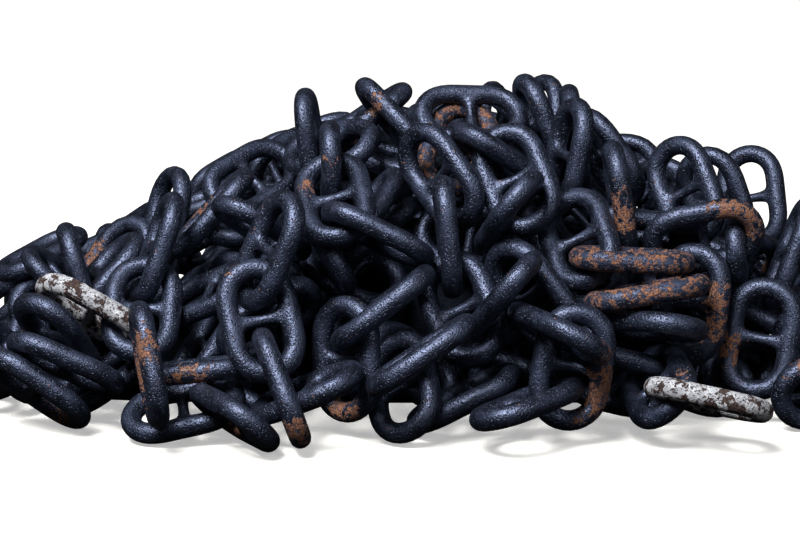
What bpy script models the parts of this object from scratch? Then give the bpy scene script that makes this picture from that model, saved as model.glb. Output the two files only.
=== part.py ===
# A heap of stud-link iron chain, in metres, with +Z up and +X along the heap.
# Each link is one forged ring with its stud welded across the middle.
# The links that show at the front and on the crest are separate solids.
# Those of the back and the two ends, and those seen in the gaps, are joined
# to one core, which stands for the buried chain and rests on the floor.

import math
import random

import bmesh
import bpy
import numpy as np
from mathutils import Matrix, Vector
from mathutils.bvhtree import BVHTree

# Driving dimensions of one link
BAR_DIAMETER = 0.060
LINK_LENGTH = 6.0 * BAR_DIAMETER
LINK_WIDTH = 3.75 * BAR_DIAMETER
STUD_FOOT = 0.8 * BAR_DIAMETER
STUD_WAIST = 0.5 * BAR_DIAMETER

# Facets of the bar and of its half-round ends
BAR_SIDES = 8
END_STEPS = 5
JOINED_BAR_SIDES = 6
JOINED_END_STEPS = 3

# The heap, measured to the surface on which the links' centres lie
HEAP_HEIGHT = 0.85
PEAK_X = 0.10
LEFT_END = -1.50
RIGHT_END = 1.62
MOST_SHARE = 0.999
LEFT_FALL = 1.6
RIGHT_FALL = 2.3
FRONT_REACH = 1.02
BACK_REACH = 1.00
PLAN_ROUNDNESS = 4.0
SECTION_ROUNDNESS = 2.3

# The core lies this far under that surface
FRONT_INSET = 0.17
BACK_INSET = 0.06
END_INSET = 0.10
INSET_CHANGE_FROM = math.radians(105.0)
INSET_CHANGE_TURN = math.radians(45.0)
CORE_STATIONS = 22
CORE_ARC_STEPS = 12
LEAST_HALF_DEPTH = 0.02
LEAST_HEIGHT = 0.02

# The eye from which the links' places were read
EYE = Vector((0.0, -6.1, 1.5))
SIGHT_PITCH = math.radians(11.2)
PICTURE_DISTANCE = 4.75
SIGHT_START = 4.2
SIGHT_STEP = 0.01
SIGHT_STEPS = 400

# Clearances between neighbouring pieces
FIT_GAP = 0.0003
SEAT_GAP = 0.0001
EASING_GAP = 0.005
FLOOR_GAP = 0.0003
MERGE_DISTANCE = 0.00001

# Facets that meet at less than this are shaded as one round surface
SMOOTH_ANGLE = math.radians(62.0)

IRON_PAINT = (0.022, 0.026, 0.034, 1.0)
RUSTY_PAINT = (0.110, 0.055, 0.028, 1.0)
CHALKY_PAINT = (0.480, 0.470, 0.450, 1.0)
BURIED_PAINT = (0.010, 0.011, 0.014, 1.0)

# One row a link: across and above the sight line where its centre is seen,
# in metres on a plane PICTURE_DISTANCE before the eye, then in degrees its
# lean from upright to the right, its top's tip towards the eye and the roll
# that brings its right side forward, and how far it stands proud, in metres.
LEFT_LINKS = (
    (-0.81, -0.06, -3, 0, 80, 0.04),
    (-0.75, 0.00, 40, 0, 85, 0.02),
    (-0.78, -0.135, -50, 0, 72, 0.05),
    (-0.63, -0.255, -9, -10, 86, 0.12),
    (-0.645, -0.085, 5, -35, 0, 0.00),
    (-0.6125, 0.0475, 20, 0, 80, 0.09),
    (-0.475, 0.15, 43, 0, 85, 0.02),
    (-0.37, 0.235, 60, -30, 20, -0.10),
    (-0.345, 0.095, -54, 40, 75, -0.08),
    (-0.33, 0.04, 25, 10, 55, 0.05),
    (-0.86, -0.18, -32, 40, 60, 0.00),
    (-0.84, -0.245, -64, 0, 80, 0.05),
    (-0.95, -0.345, -48, 0, 75, 0.13),
)
FRONT_LINKS = (
    (-0.35, -0.135, -12, -10, 0, 0.04),
    (-0.29, -0.328, -21, -15, 88, 0.12),
    (-0.49, -0.295, 87, 0, 80, -0.06),
    (-0.54, -0.385, 85, 0, 40, 0.02),
    (-0.40, -0.395, -56, -62, 82, 0.03),
    (-0.145, 0.158, -17, -45, 0, 0.02),
    (-0.06, 0.07, -59, 0, 80, 0.06),
    (0.105, 0.245, -34, -20, 38, 0.02),
    (0.115, 0.09, -2, 0, 88, 0.05),
    (0.145, -0.10, -22, -20, 10, 0.00),
    (0.05, -0.225, 57, 0, 85, 0.08),
    (-0.125, -0.235, 2, 0, 36, 0.03),
    (-0.06, -0.10, 50, 0, 85, 0.08),
    (-0.25, -0.345, 65, 25, 80, 0.04),
    (0.00, -0.315, -8, -30, 20, 0.00),
    (0.155, -0.33, 62, 0, 80, -0.02),
    (0.345, -0.065, -40, 0, 35, 0.00),
    (0.275, -0.085, 38, 50, 85, 0.02),
    (0.435, -0.25, 17, 0, 0, 0.02),
    (0.335, -0.348, 68, -35, 80, 0.08),
    (0.375, -0.155, -71, -35, 80, 0.03),
)
UPPER_LINKS = (
    (-0.205, 0.325, 86, 58, 40, 0.00),
    (-0.175, 0.24, 0, 25, 88, 0.06),
    (-0.19, 0.285, 4, 0, 85, -0.12),
    (-0.015, 0.375, -43, -25, 80, 0.05),
    (0.25, 0.28, -59, 30, 82, 0.04),
    (0.30, 0.228, -25, -20, 25, 0.00),
    (0.265, 0.145, 50, 45, 82, -0.03),
    (0.145, 0.315, 18, -35, 5, -0.12),
    (0.365, 0.335, -25, 0, 74, -0.04),
    (0.40, 0.285, 3, -10, 88, -0.27),
    (0.425, 0.278, 15, 0, 70, 0.02),
    (0.56, 0.165, -13, 10, 85, 0.02),
)
RIGHT_LINKS = (
    (0.71, 0.19, -20, -20, 30, 0.00),
    (0.62, 0.130, -80, 8, 85, -0.02),
    (0.445, 0.06, -15, -45, 10, -0.04),
    (0.59, 0.008, 84, 0, 78, 0.09),
    (0.60, -0.072, 80, 0, 85, 0.06),
    (0.725, -0.095, 5, 0, 20, -0.02),
    (0.63, -0.145, -83, -45, 80, 0.00),
    (0.755, 0.078, 78, 0, -30, 0.03),
    (0.885, 0.178, -8, -10, 15, -0.05),
    (0.975, 0.028, 18, 0, 80, 0.06),
    (0.922, -0.19, 8, 0, 5, 0.00),
    (0.78, -0.33, -77, 0, 88, 0.15),
    (0.64, -0.30, -25, -58, 20, -0.03),
)
LINK_GROUPS = (
    ("left_link", LEFT_LINKS),
    ("front_link", FRONT_LINKS),
    ("upper_link", UPPER_LINKS),
    ("right_link", RIGHT_LINKS),
)
CHALKY_LINKS = ("left_link_03", "right_link_12")
RUSTY_LINKS = ("upper_link_08", "right_link_04", "right_link_05")

# Rows of joined links round the back and the two ends, each given by its
# turn round the section, from the front floor line to the back one
JOINED_ROW_TURNS = (14, 38, 64, 90, 117, 137, 158)
JOINED_SPACING = 0.40
JOINED_LIFT = 0.012
JOINED_ROLL_LIFT = 0.03
JOINED_WANDER = 40.0
JOINED_ROLL = 70.0
JOINED_ROCK = 15.0
JOINED_END_ROOM = 0.21
JOINED_SEED = 7
SLOPE_STEP = 0.02
SLOPE_TURN = 0.03
OPEN_LEFT = -1.15
OPEN_RIGHT = 1.16
OPEN_TURN = math.radians(100.0)

# Links joined to the core that show in the gaps between the separate ones,
# read as those are; they may be shifted and turned a little to find room
GAP_LINKS = (
    (-0.79, 0.01, 80, -20, 85, -0.06),
    (-1.05, -0.28, 87, 0, 35, 0.00),
    (-0.06, 0.37, 62, 0, 80, -0.12),
    (-0.605, 0.17, 55, 0, 60, -0.15),
    (-0.7125, 0.0025, 35, 0, 40, -0.15),
    (-0.872, -0.005, 50, -20, 75, -0.10),
    (-0.4875, -0.1975, 35, 0, 70, -0.12),
    (-0.2875, -0.385, 10, 0, 60, -0.06),
    (-0.7875, -0.3475, -80, 0, 70, -0.12),
    (0.08, -0.03, -40, 50, 80, -0.06),
    (0.2575, -0.24, 30, 0, 80, -0.06),
    (0.25, -0.2725, -60, 0, 70, -0.10),
    (0.175, 0.3275, 80, 0, 30, -0.10),
    (0.2625, 0.3775, 88, 0, 80, -0.25),
    (0.35, 0.34, 5, 0, 60, -0.25),
    (0.53, 0.31, -57, 0, 80, -0.20),
    (0.475, 0.2025, 88, 0, 60, -0.10),
    (0.7875, 0.165, -20, 0, 20, -0.10),
    (0.625, 0.1775, 68, 0, 80, -0.10),
    (0.875, 0.035, -38, -50, 85, -0.04),
    (0.9375, 0.1275, -45, 0, 75, -0.08),
    (1.0375, -0.24, 85, 0, 80, 0.00),
    (1.05, -0.34, -80, 0, 60, 0.00),
    (-0.525, -0.0275, 88, 0, 80, -0.10),
    (0.7025, -0.2675, 10, 40, 60, -0.08),
    (-0.55, 0.095, 60, 20, 50, -0.14),
    (-0.51, -0.085, -30, 0, 60, -0.14),
)
GAP_ROW_TURNS = (104, 127, 148)
GAP_SEED = 100
GAP_TRIES = 60
GAP_ROOM = 0.0008
GAP_SHIFT = 0.08
GAP_SWING = 60.0
GAP_DEPTH_STEP = 0.01
GAP_DEPTH_STEPS = 16
ATTACHED_DEPTH = 0.006
ATTACHED_CORNERS = 4

# Easing: how readily a link moves in depth, moves aside and turns
ARC_POINTS = 12
SIDE_POINTS = 6
DEPTH_EASE = 1.0
SIDE_EASE = 0.35
TURN_EASE = 18.0
MOST_TURN = 0.05
EASING_SHARE = 0.7
EASING_ROUNDS = 420
HOMING_ROUNDS = 150
HOMING_SHARE = 0.05
EASED_LACK = 0.001
PLACE_DIGITS = 7

# Seating: how the links slide towards the heap's spine
SPINE_LEFT = -0.8
SPINE_RIGHT = 0.9
SPINE_Y = 0.15
SPINE_Z = 0.15
SLIDE_STEP = 0.008
SLIDE_HALVINGS = 8
FREEING_STEP = 0.001
FREEING_LIMIT = 0.02
SLIDE_LIMIT = 0.16
SEATED_SLIDE = 0.0005
SEATING_ROUNDS = 16
TOUCH_GAP = 0.0007
TOGETHER_STEP = 0.0002
TOGETHER_LIMIT = 0.012
TOGETHER_ROUNDS = 4

BAR_RADIUS = BAR_DIAMETER / 2.0
CENTRE_LINE_RADIUS = (LINK_WIDTH - BAR_DIAMETER) / 2.0
STRAIGHT_HALF = LINK_LENGTH / 2.0 - BAR_RADIUS - CENTRE_LINE_RADIUS


def clear_scene():
    for item in list(bpy.data.objects):
        bpy.data.objects.remove(item, do_unlink=True)


# A many-sided bar whose section has the round bar's area
def facet_radius(sides):
    section = sides / 2.0 * math.sin(2.0 * math.pi / sides)
    return BAR_RADIUS * math.sqrt(math.pi / section)


# The heap's surface

def end_share(x):
    end = RIGHT_END if x > PEAK_X else LEFT_END
    return min((x - PEAK_X) / (end - PEAK_X), MOST_SHARE)


def crest_height(x):
    fall = RIGHT_FALL if x > PEAK_X else LEFT_FALL
    return HEAP_HEIGHT * (1.0 - end_share(x) ** fall)


def half_depth(x, y):
    reach = FRONT_REACH if y < 0.0 else BACK_REACH
    return reach * (1.0 - end_share(x) ** PLAN_ROUNDNESS) ** (1.0 / PLAN_ROUNDNESS)


# Under 1 inside the heap's surface, over 1 outside it
def heap_level(place):
    depth = abs(place.y) / half_depth(place.x, place.y)
    height = max(place.z, 0.0) / crest_height(place.x)
    return depth ** SECTION_ROUNDNESS + height ** SECTION_ROUNDNESS


def surface_point(x, turn, inset):
    side = -1.0 if turn < math.pi / 2.0 else 1.0
    depth = abs(math.cos(turn)) ** (2.0 / SECTION_ROUNDNESS)
    height = math.sin(turn) ** (2.0 / SECTION_ROUNDNESS)
    reach = max(half_depth(x, side) - inset, LEAST_HALF_DEPTH)
    top = max(crest_height(x) - inset, LEAST_HEIGHT)
    return Vector((x, side * depth * reach, height * top))


# Sight lines

def sight_line(across, above):
    forward = Vector((0.0, math.cos(SIGHT_PITCH), -math.sin(SIGHT_PITCH)))
    upward = Vector((0.0, math.sin(SIGHT_PITCH), math.cos(SIGHT_PITCH)))
    sight = PICTURE_DISTANCE * forward + above * upward
    sight.x += across
    return sight.normalized()


def distance_to_heap(sight):
    lowest_level = None
    best = 0.0
    for step in range(SIGHT_STEPS):
        distance = SIGHT_START + SIGHT_STEP * step
        place = EYE + distance * sight
        level = heap_level(place)
        if level < 1.0:
            return distance
        if lowest_level is None or level < lowest_level:
            lowest_level = level
            best = distance
    return best


# A pose whose columns are the link's width, thickness and length
def seen_pose(across, above, lean, tip, roll, proud):
    sight = sight_line(across, above)
    toward = -sight
    right = Vector((0.0, 0.0, 1.0)).cross(toward).normalized()
    upward = toward.cross(right)
    lean, tip, roll = math.radians(lean), math.radians(tip), math.radians(roll)
    length = math.cos(lean) * upward + math.sin(lean) * right
    width = math.cos(lean) * right - math.sin(lean) * upward
    facing = math.cos(tip) * toward - math.sin(tip) * length
    length = math.cos(tip) * length + math.sin(tip) * toward
    width = math.cos(roll) * width + math.sin(roll) * facing
    thickness = length.cross(width)
    centre = EYE + (distance_to_heap(sight) - proud) * sight
    pose = Matrix((width, thickness, length)).transposed().to_4x4()
    pose.translation = centre
    return pose


# One link

def extrude_ring(bm, ring, rise):
    result = bmesh.ops.extrude_edge_only(bm, edges=ring)
    verts = [item for item in result["geom"] if isinstance(item, bmesh.types.BMVert)]
    bmesh.ops.translate(bm, verts=verts, vec=(0.0, 0.0, rise))
    return [item for item in result["geom"] if isinstance(item, bmesh.types.BMEdge)
            and all(v in verts for v in item.verts)]


def spin_ring(bm, ring, centre_z, steps):
    verts = list(dict.fromkeys(v for edge in ring for v in edge.verts))
    result = bmesh.ops.spin(bm, geom=verts + ring, cent=(0.0, 0.0, centre_z),
                            axis=(0.0, -1.0, 0.0), angle=math.pi, steps=steps)
    return [item for item in result["geom_last"] if isinstance(item, bmesh.types.BMEdge)]


# Draws the stud's half from one inner face to the middle of the link
def add_half_stud(bm, side, waist):
    middle = [face for face in bm.faces
              if abs(face.calc_center_median().z) < 0.001
              and face.normal.x * side < -0.9
              and face.calc_center_median().x * side > 0.0]
    foot = middle[0]
    result = bmesh.ops.extrude_discrete_faces(bm, faces=[foot])
    cap = result["faces"][0]
    for vert in cap.verts:
        vert.co.x = 0.0
        vert.co.y = math.copysign(waist / 2.0, vert.co.y)
        vert.co.z = math.copysign(waist / 2.0, vert.co.z)
    bmesh.ops.delete(bm, geom=[cap], context="FACES_ONLY")


# The swell makes a slightly stouter link, for keeping room between pieces
def link_mesh(name, sides, end_steps, swell=0.0):
    bm = bmesh.new()
    start = Matrix.Translation((CENTRE_LINE_RADIUS, 0.0, -STRAIGHT_HALF))
    half_side = Matrix.Rotation(math.pi / 2.0 + math.pi / sides, 4, "Z")
    bmesh.ops.create_circle(bm, segments=sides, radius=facet_radius(sides) + swell,
                            matrix=start @ half_side)
    first = list(bm.edges)
    ring = first
    side_rises = (STRAIGHT_HALF - STUD_FOOT / 2.0, STUD_FOOT, STRAIGHT_HALF - STUD_FOOT / 2.0)
    for rise in side_rises:
        ring = extrude_ring(bm, ring, rise)
    ring = spin_ring(bm, ring, STRAIGHT_HALF, end_steps)
    for rise in side_rises:
        ring = extrude_ring(bm, ring, -rise)
    spin_ring(bm, ring, -STRAIGHT_HALF, end_steps)
    bmesh.ops.remove_doubles(bm, verts=bm.verts, dist=MERGE_DISTANCE)
    bmesh.ops.recalc_face_normals(bm, faces=bm.faces)
    waist = STUD_WAIST + 2.0 * swell
    add_half_stud(bm, 1.0, waist)
    add_half_stud(bm, -1.0, waist)
    bmesh.ops.remove_doubles(bm, verts=bm.verts, dist=MERGE_DISTANCE)
    bmesh.ops.recalc_face_normals(bm, faces=bm.faces)
    mesh = bpy.data.meshes.new(name)
    bm.to_mesh(mesh)
    bm.free()
    mesh.shade_smooth()
    mesh.set_sharp_from_angle(angle=SMOOTH_ANGLE)
    return mesh


# Points along the bar's centre line and the stud, in the link's own axes
def centre_line_points():
    points = []
    for step in range(ARC_POINTS):
        angle = math.pi * step / ARC_POINTS
        x = CENTRE_LINE_RADIUS * math.cos(angle)
        z = STRAIGHT_HALF + CENTRE_LINE_RADIUS * math.sin(angle)
        points.append((x, 0.0, z))
        points.append((-x, 0.0, -z))
    for step in range(SIDE_POINTS):
        z = STRAIGHT_HALF - 2.0 * STRAIGHT_HALF * step / SIDE_POINTS
        points.append((-CENTRE_LINE_RADIUS, 0.0, z))
        points.append((CENTRE_LINE_RADIUS, 0.0, -z))
    return np.array(points)


def stud_points():
    inner_half = CENTRE_LINE_RADIUS - BAR_RADIUS
    return np.array([(inner_half * share, 0.0, 0.0) for share in (-1.0, -0.5, 0.0, 0.5, 1.0)])


# Easing: links that run into each other are drawn apart, mostly in depth

class EasedLink:
    def __init__(self, pose, held):
        self.home = pose
        self.turn = np.array(pose.to_3x3())
        self.centre = np.array(pose.translation)
        self.held = held
        self.bar_points = centre_line_points()
        self.stud_points = stud_points()
        self.refresh()

    # Rounded, so that the last digits don't grow into different heaps
    def refresh(self):
        self.centre = np.round(self.centre, PLACE_DIGITS)
        self.turn = np.round(self.turn, PLACE_DIGITS)
        bar = np.einsum("ij,kj->ik", self.bar_points, self.turn) + self.centre
        stud = np.einsum("ij,kj->ik", self.stud_points, self.turn) + self.centre
        self.bar = np.round(bar, PLACE_DIGITS)
        self.stud = np.round(stud, PLACE_DIGITS)

    # Goes back a little towards where it was read, but not in depth
    def go_home(self, share):
        sight = (self.home.translation - EYE).normalized()
        way = self.home.translation - Vector(self.centre.tolist())
        way -= way.dot(sight) * sight
        self.centre = self.centre + share * np.array(way)
        turned = Matrix(self.turn.tolist()).to_quaternion()
        turned = turned.slerp(self.home.to_quaternion(), share)
        self.turn = np.array(turned.to_matrix())
        self.refresh()

    def pose(self):
        matrix = Matrix(self.turn.tolist()).to_4x4()
        matrix.translation = Vector(self.centre.tolist())
        return matrix


def nearest_pair(first, second):
    gaps = first[:, None, :] - second[None, :, :]
    lengths = np.sqrt((gaps ** 2).sum(axis=2))
    row, column = np.unravel_index(np.argmin(lengths), lengths.shape)
    return first[row], second[column], lengths[row, column]


def ease_weight(arm, push):
    moved = SIDE_EASE * (push[0] ** 2 + push[2] ** 2) + DEPTH_EASE * push[1] ** 2
    turned = np.cross(arm, push)
    return moved + TURN_EASE * float(turned @ turned)


def shift_link(link, point, push, amount):
    arm = point - link.centre
    move = push * np.array((SIDE_EASE, DEPTH_EASE, SIDE_EASE))
    link.centre = link.centre + amount * move
    turned = TURN_EASE * amount * np.cross(arm, push)
    angle = float(np.linalg.norm(turned))
    if angle > 1e-9:
        axis = Vector((turned / angle).tolist())
        link.turn = np.array(Matrix.Rotation(min(angle, MOST_TURN), 3, axis)) @ link.turn
    link.refresh()


def draw_apart(one, other, reach_pairs):
    worst = 0.0
    for first, second, reach in reach_pairs(one, other):
        here, there, length = nearest_pair(first, second)
        lack = reach - length
        if lack <= 0.0:
            continue
        worst = max(worst, lack)
        push = (here - there) / max(length, 1e-6)
        weight = 0.0
        if not one.held:
            weight += ease_weight(here - one.centre, push)
        if not other.held:
            weight += ease_weight(there - other.centre, push)
        if weight == 0.0:
            continue
        amount = EASING_SHARE * lack / weight
        if not one.held:
            shift_link(one, here, push, amount)
        if not other.held:
            shift_link(other, there, -push, amount)
    return worst


def clearance_pairs(one, other):
    bar_reach = 2.0 * facet_radius(BAR_SIDES) + EASING_GAP
    stud_reach = facet_radius(BAR_SIDES) + 0.75 * STUD_WAIST + EASING_GAP
    return ((one.bar, other.bar, bar_reach),
            (one.stud, other.bar, stud_reach),
            (one.bar, other.stud, stud_reach),
            (one.stud, other.stud, 1.5 * STUD_WAIST + EASING_GAP))


def keep_off_floor(link):
    lowest = int(np.argmin(link.bar[:, 2]))
    lack = facet_radius(BAR_SIDES) + EASING_GAP - link.bar[lowest, 2]
    if lack > 0.0 and not link.held:
        push = np.array((0.0, 0.0, 1.0))
        weight = ease_weight(link.bar[lowest] - link.centre, push)
        shift_link(link, link.bar[lowest], push, lack / weight)
        return lack
    return 0.0


# The core's surface is read from its mesh as a tree of faces
def keep_off_core(link, core_tree):
    if link.held:
        return 0.0
    deepest = 0.0
    for point in link.bar:
        place = Vector(point.tolist())
        place.z = max(place.z, BAR_RADIUS)
        nearest, normal, index, distance = core_tree.find_nearest(place)
        if normal.z < -0.5:
            continue
        side = (place - nearest).dot(normal)
        lack = facet_radius(BAR_SIDES) + EASING_GAP - (distance if side > 0.0 else -distance)
        if lack > deepest:
            deepest = lack
            touched = (point, np.array(normal))
    if deepest > 0.0:
        point, push = touched
        weight = ease_weight(point - link.centre, push)
        shift_link(link, point, push, EASING_SHARE * deepest / weight)
    return deepest


def ease_links(links, core_tree):
    for round_number in range(EASING_ROUNDS):
        worst = 0.0
        if round_number < HOMING_ROUNDS:
            for link in links:
                if not link.held:
                    link.go_home(HOMING_SHARE)
        for index, one in enumerate(links):
            for other in links[index + 1:]:
                if one.held and other.held:
                    continue
                if np.abs(one.centre - other.centre).max() < LINK_LENGTH + EASING_GAP:
                    worst = max(worst, draw_apart(one, other, clearance_pairs))
            worst = max(worst, keep_off_core(one, core_tree), keep_off_floor(one))
        if round_number > HOMING_ROUNDS and worst < EASED_LACK:
            break


# Seating: each link slides in towards the heap's spine until it touches

def link_tree(mesh, pose):
    verts = [pose @ vert.co for vert in mesh.vertices]
    return BVHTree.FromPolygons(verts, [tuple(face.vertices) for face in mesh.polygons])


def inward(place):
    along = min(max(place.x, SPINE_LEFT), SPINE_RIGHT)
    spine = Vector((along, SPINE_Y, min(SPINE_Z, place.z)))
    return (spine - place).normalized()


def lowest_point(mesh, pose):
    return min((pose @ vert.co).z for vert in mesh.vertices)


def is_clear(mesh, pose, neighbours, core_tree):
    tree = link_tree(mesh, pose)
    if lowest_point(mesh, pose) < FLOOR_GAP:
        return False
    if tree.overlap(core_tree):
        return False
    return not any(tree.overlap(other) for other in neighbours)


def slid(pose, direction, distance):
    moved = pose.copy()
    moved.translation = pose.translation + distance * direction
    return moved


# Draws a link outwards until it is clear; one that can't be freed stays put
def freed(mesh, pose, direction, neighbours, core_tree):
    drawn_back = 0.0
    while drawn_back < FREEING_LIMIT:
        outer = slid(pose, direction, -drawn_back)
        if is_clear(mesh, outer, neighbours, core_tree):
            return outer
        drawn_back += FREEING_STEP
    return pose


def seat_link(mesh, pose, neighbours, core_tree):
    direction = inward(pose.translation)
    pose = freed(mesh, pose, direction, neighbours, core_tree)
    reached = 0.0
    blocked = None
    while reached < SLIDE_LIMIT:
        if not is_clear(mesh, slid(pose, direction, reached + SLIDE_STEP), neighbours, core_tree):
            blocked = reached + SLIDE_STEP
            break
        reached += SLIDE_STEP
    if blocked is None:
        return slid(pose, direction, reached), reached
    for halving in range(SLIDE_HALVINGS):
        middle = (reached + blocked) / 2.0
        if is_clear(mesh, slid(pose, direction, middle), neighbours, core_tree):
            reached = middle
        else:
            blocked = middle
    reached = max(reached - SEAT_GAP, 0.0)
    return slid(pose, direction, reached), reached


def seat_links(mesh, poses, core_tree):
    trees = [link_tree(mesh, pose) for pose in poses]
    for round_number in range(SEATING_ROUNDS):
        longest = 0.0
        order = sorted(range(len(poses)), key=lambda i: poses[i].translation.z)
        for index in order:
            place = poses[index].translation
            neighbours = [trees[i] for i in range(len(poses)) if i != index
                          and (poses[i].translation - place).length < 2.0 * LINK_LENGTH]
            poses[index], slide = seat_link(mesh, poses[index], neighbours, core_tree)
            trees[index] = link_tree(mesh, poses[index])
            longest = max(longest, slide)
        if longest < SEATED_SLIDE:
            break


# Links that touch only each other, found by spreading from those that touch the core
def links_apart(mesh, poses, core_tree):
    trees = [link_tree(mesh, pose) for pose in poses]
    held = {i for i, tree in enumerate(trees) if tree.overlap(core_tree)}
    edge = sorted(held)
    while edge:
        found = [i for i in range(len(poses)) if i not in held
                 and any(trees[i].overlap(trees[j]) for j in edge)]
        held.update(found)
        edge = found
    return [i for i in range(len(poses)) if i not in held]


# Slides them in all together until one of them touches what holds the rest
def seat_together(mesh, poses, members, core_tree):
    trees = [link_tree(mesh, pose) for i, pose in enumerate(poses) if i not in members]
    middle = sum((poses[i].translation for i in members), Vector()) / len(members)
    direction = inward(middle)
    reached = 0.0
    while reached < TOGETHER_LIMIT:
        further = reached + TOGETHER_STEP
        if not all(is_clear(mesh, slid(poses[i], direction, further), trees, core_tree)
                   for i in members):
            break
        reached = further
    for i in members:
        poses[i] = slid(poses[i], direction, reached)


# The core

def core_inset(turn):
    back_share = min(max((turn - INSET_CHANGE_FROM) / INSET_CHANGE_TURN, 0.0), 1.0)
    return FRONT_INSET + (BACK_INSET - FRONT_INSET) * back_share


# Joined links lie on the core where the photograph doesn't reach
def joined_pose(x, turn, wander, roll):
    inset = core_inset(turn) - JOINED_LIFT - JOINED_ROLL_LIFT * abs(math.sin(roll))
    centre = surface_point(x, turn, inset)
    along = surface_point(x + SLOPE_STEP, turn, inset)
    along = along - surface_point(x - SLOPE_STEP, turn, inset)
    around = surface_point(x, min(turn + SLOPE_TURN, math.pi), inset)
    around = around - surface_point(x, max(turn - SLOPE_TURN, 0.0), inset)
    outward = around.cross(along).normalized()
    length = along.normalized()
    length = Matrix.Rotation(wander, 3, outward) @ length
    width = outward.cross(length)
    width = Matrix.Rotation(roll, 3, length) @ width
    thickness = length.cross(width)
    pose = Matrix((width, thickness, length)).transposed().to_4x4()
    pose.translation = centre
    return pose


def joined_poses(mesh):
    chance = random.Random(JOINED_SEED)
    poses = []
    for row, turn_degrees in enumerate(JOINED_ROW_TURNS):
        turn = math.radians(turn_degrees)
        x = LEFT_END + JOINED_END_ROOM + 0.5 * JOINED_SPACING * (row % 2)
        number = row
        while x < RIGHT_END - JOINED_END_ROOM:
            wander = math.radians(chance.uniform(-JOINED_WANDER, JOINED_WANDER))
            roll = JOINED_ROLL * (number % 2) + chance.uniform(-JOINED_ROCK, JOINED_ROCK)
            if turn > OPEN_TURN or x < OPEN_LEFT or x > OPEN_RIGHT:
                pose = joined_pose(x, turn, wander, math.radians(roll))
                pose.translation.z += max(FLOOR_GAP - lowest_point(mesh, pose), 0.0)
                poses.append(pose)
            x += JOINED_SPACING * chance.uniform(0.9, 1.1)
            number += 1
    return poses


# Each slot is either a row of GAP_LINKS or a place on the surface at the back
def gap_slots():
    slots = list(GAP_LINKS)
    for row, degrees in enumerate(GAP_ROW_TURNS):
        x = LEFT_END + JOINED_END_ROOM + 0.5 * JOINED_SPACING * ((row + 1) % 2)
        while x < RIGHT_END - JOINED_END_ROOM:
            slots.append((x, math.radians(degrees)))
            x += JOINED_SPACING
    return slots


# The first try at a slot is as read; later ones stray farther from it
def gap_try(slot, number, chance):
    stray = number / GAP_TRIES
    shifts = [GAP_SHIFT * stray * chance.uniform(-1.0, 1.0) for _ in range(2)]
    swings = [GAP_SWING * stray * chance.uniform(-1.0, 1.0) for _ in range(3)]
    if len(slot) == 2:
        wander = math.radians(swings[0] + JOINED_WANDER * chance.uniform(-1.0, 1.0))
        roll = math.radians(swings[1] + JOINED_ROLL * chance.uniform(-1.0, 1.0))
        pose = joined_pose(slot[0] + shifts[0], slot[1] + shifts[1], wander, roll)
        return pose, inward(pose.translation)
    across, above, lean, tip, roll, proud = slot
    across += shifts[0]
    above += shifts[1]
    pose = seen_pose(across, above, lean + swings[0], tip + swings[1], roll + swings[2], proud)
    return pose, sight_line(across, above)


# Whether enough of a link's corners lie inside the core for the two to be one body
def is_attached(mesh, pose, core_tree):
    inside = 0
    for vert in mesh.vertices:
        place = pose @ vert.co
        nearest, normal, index, distance = core_tree.find_nearest(place)
        if place.z > ATTACHED_DEPTH and (place - nearest).dot(normal) < -ATTACHED_DEPTH:
            inside += 1
    return inside >= ATTACHED_CORNERS


def has_room(mesh, pose, taken):
    if lowest_point(mesh, pose) < FLOOR_GAP:
        return False
    tree = link_tree(mesh, pose)
    return not any(tree.overlap(other) for place, other in taken
                   if (place - pose.translation).length < 1.1 * LINK_LENGTH)


def fitted_gap_pose(slot, chance, mesh, stout, taken, core_tree):
    for number in range(GAP_TRIES):
        pose, direction = gap_try(slot, number, chance)
        for step in range(GAP_DEPTH_STEPS):
            deeper = slid(pose, direction, GAP_DEPTH_STEP * step)
            if has_room(stout, deeper, taken) and is_attached(mesh, deeper, core_tree):
                return deeper
    return None


def gap_poses(mesh, taken, joined, core_tree):
    stout = link_mesh("stout_joined_link", JOINED_BAR_SIDES, JOINED_END_STEPS, GAP_ROOM)
    taken = taken + [(pose.translation, link_tree(stout, pose)) for pose in joined]
    found = []
    for number, slot in enumerate(gap_slots()):
        chance = random.Random(GAP_SEED + number)
        pose = fitted_gap_pose(slot, chance, mesh, stout, taken, core_tree)
        if pose is not None:
            found.append(pose)
            taken.append((pose.translation, link_tree(stout, pose)))
    return found


def core_station(x):
    turns = [math.pi * step / CORE_ARC_STEPS for step in range(CORE_ARC_STEPS + 1)]
    return [surface_point(x, turn, core_inset(turn)) for turn in turns]


def core_mesh(name):
    left = LEFT_END + END_INSET
    right = RIGHT_END - END_INSET
    bm = bmesh.new()
    loops = []
    for step in range(CORE_STATIONS + 1):
        share = step / CORE_STATIONS
        x = left + (right - left) * (1.0 - math.cos(math.pi * share)) / 2.0
        loops.append([bm.verts.new(place) for place in core_station(x)])
    for near, far in zip(loops, loops[1:]):
        for i in range(CORE_ARC_STEPS):
            bm.faces.new((near[i], far[i], far[i + 1], near[i + 1]))
        bm.faces.new((near[0], near[-1], far[-1], far[0]))
    bm.faces.new(loops[0])
    bm.faces.new(list(reversed(loops[-1])))
    bmesh.ops.recalc_face_normals(bm, faces=bm.faces)
    bmesh.ops.triangulate(bm, faces=bm.faces)
    mesh = bpy.data.meshes.new(name)
    bm.to_mesh(mesh)
    bm.free()
    return mesh


def paint(name, colour, roughness, metallic):
    material = bpy.data.materials.new(name)
    material.use_nodes = True
    shader = material.node_tree.nodes["Principled BSDF"]
    shader.inputs["Base Color"].default_value = colour
    shader.inputs["Roughness"].default_value = roughness
    shader.inputs["Metallic"].default_value = metallic
    return material


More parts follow.
